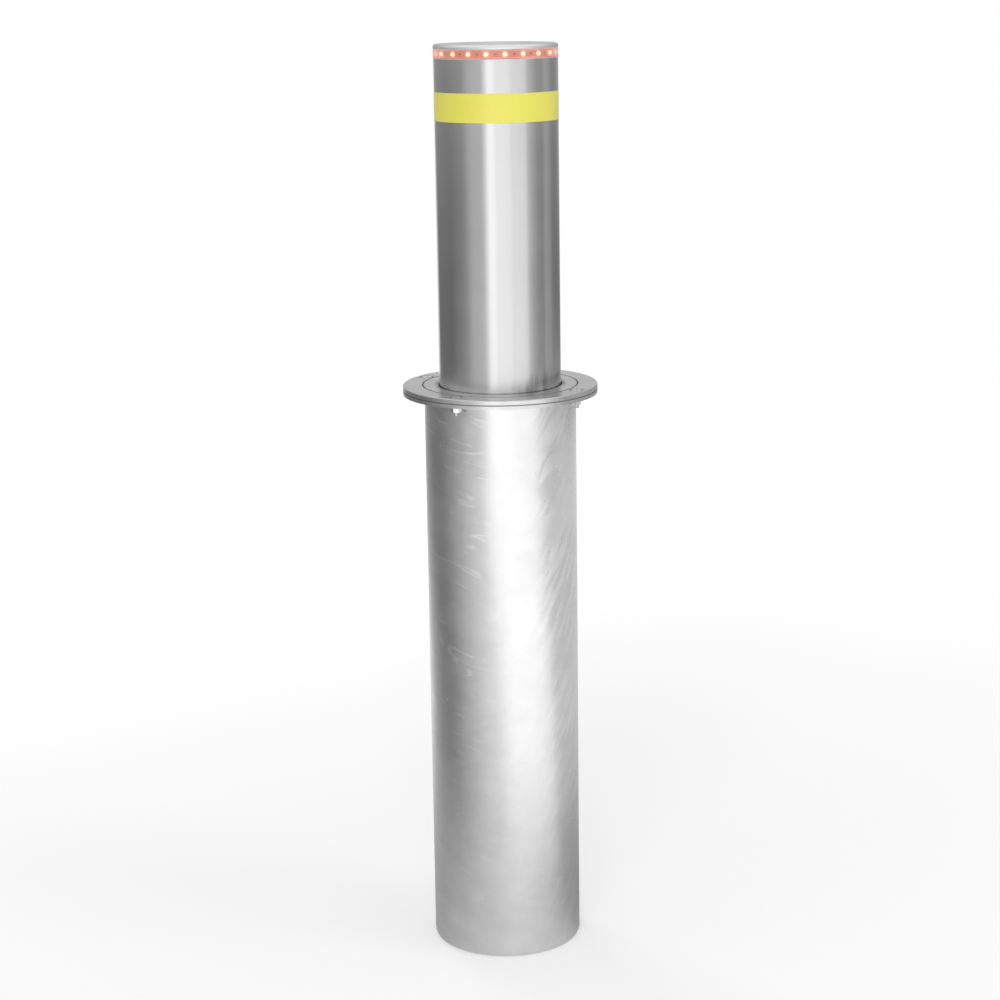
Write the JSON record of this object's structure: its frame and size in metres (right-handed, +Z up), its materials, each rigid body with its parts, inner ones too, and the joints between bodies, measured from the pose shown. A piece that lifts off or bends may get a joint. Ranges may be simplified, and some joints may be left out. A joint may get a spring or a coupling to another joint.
{
  "type": "hydraulic rising bollard",
  "caption": "Round steel bollard that slides up out of a flanged in-ground casing on an inner ram, with a lit ring and a reflective band near its top.",
  "frame": {"origin": "middle of the casing's underside", "axes": "+Z up along the column, -Y towards the front, +Y towards the cable socket at the back"},
  "size_m": [0.35, 0.35, 1.65],
  "materials": {
    "galvanised_casing": "hot-dip galvanised, with cloudy spangle and run marks",
    "galvanised_ring": "galvanised plate, semi-gloss",
    "zinc_screws": "bright zinc plated",
    "stainless_screws": "plain stainless",
    "black_rubber": "matt",
    "pale_silicone": "translucent seal, satin",
    "dark_nylon": "moulded, satin",
    "plain_steel": "turned and oiled",
    "chromed_rod": "hard chromed and polished",
    "brushed_stainless": "brushed round its girth",
    "brushed_cap": "brushed, rounded edge",
    "clear_ring": "clear",
    "red_strip": "flexible strip",
    "warm_diodes": "lit",
    "yellow_band": "reflective film",
    "unit_paint": "dark paint",
    "cast_alloy": "cast",
    "machined_alloy": "machined",
    "coil_plastic": "moulded",
    "zinc_pipe": "zinc plated"
  },
  "bodies": {
    "casing": {"casing_tube": "galvanised_casing", "base_plate": "galvanised_casing", "casing_flange": "galvanised_ring", "cover_flange": "galvanised_ring", "wiper_ring": "galvanised_ring", "wiper_ring_screws": "zinc_screws", "wiper_seal": "black_rubber", "upper_guide": "dark_nylon", "upper_guide_screws": "zinc_screws", "flange_screws": "zinc_screws", "flange_washers": "zinc_screws", "flange_nuts": "zinc_screws", "guide_rails": "plain_steel", "buffer_posts": "galvanised_casing", "landing_buffers": "black_rubber", "rod_foot": "plain_steel", "rod_foot_bolts": "zinc_screws", "rod_pin": "zinc_screws", "piston_rod": "chromed_rod", "piston": "plain_steel", "piston_seals": "black_rubber", "piston_nut": "zinc_screws", "cable_socket": "galvanised_casing"},
    "column": {"column_tube": "brushed_stainless", "top_cap": "brushed_cap", "cap_screws": "stainless_screws", "head_plate": "plain_steel", "light_ring": "clear_ring", "lens_gaskets": "pale_silicone", "led_strip": "red_strip", "leds": "warm_diodes", "reflective_band": "yellow_band", "bottom_ring": "plain_steel", "guide_shoes": "dark_nylon", "rail_forks": "dark_nylon", "shoe_screws": "zinc_screws", "ram_barrel": "plain_steel", "ram_head": "plain_steel", "ram_head_bolts": "zinc_screws", "ram_gland": "plain_steel", "rod_wiper": "black_rubber", "motor_housing": "unit_paint", "motor_end_cap": "cast_alloy", "unit_screws": "zinc_screws", "pump_body": "cast_alloy", "valve_block": "machined_alloy", "solenoid_coil": "coil_plastic", "solenoid_valve": "zinc_screws", "relief_valve": "zinc_screws", "oil_tank": "unit_paint", "tank_filler": "machined_alloy", "suction_pipe": "zinc_pipe", "return_pipe": "zinc_pipe", "pressure_pipe": "zinc_pipe"}
  },
  "joints": [
    {"name": "column_slide", "type": "slide", "parent": "casing", "child": "column", "axis": [0, 0, 1], "range_m": [-0.6, 0]}
  ]
}
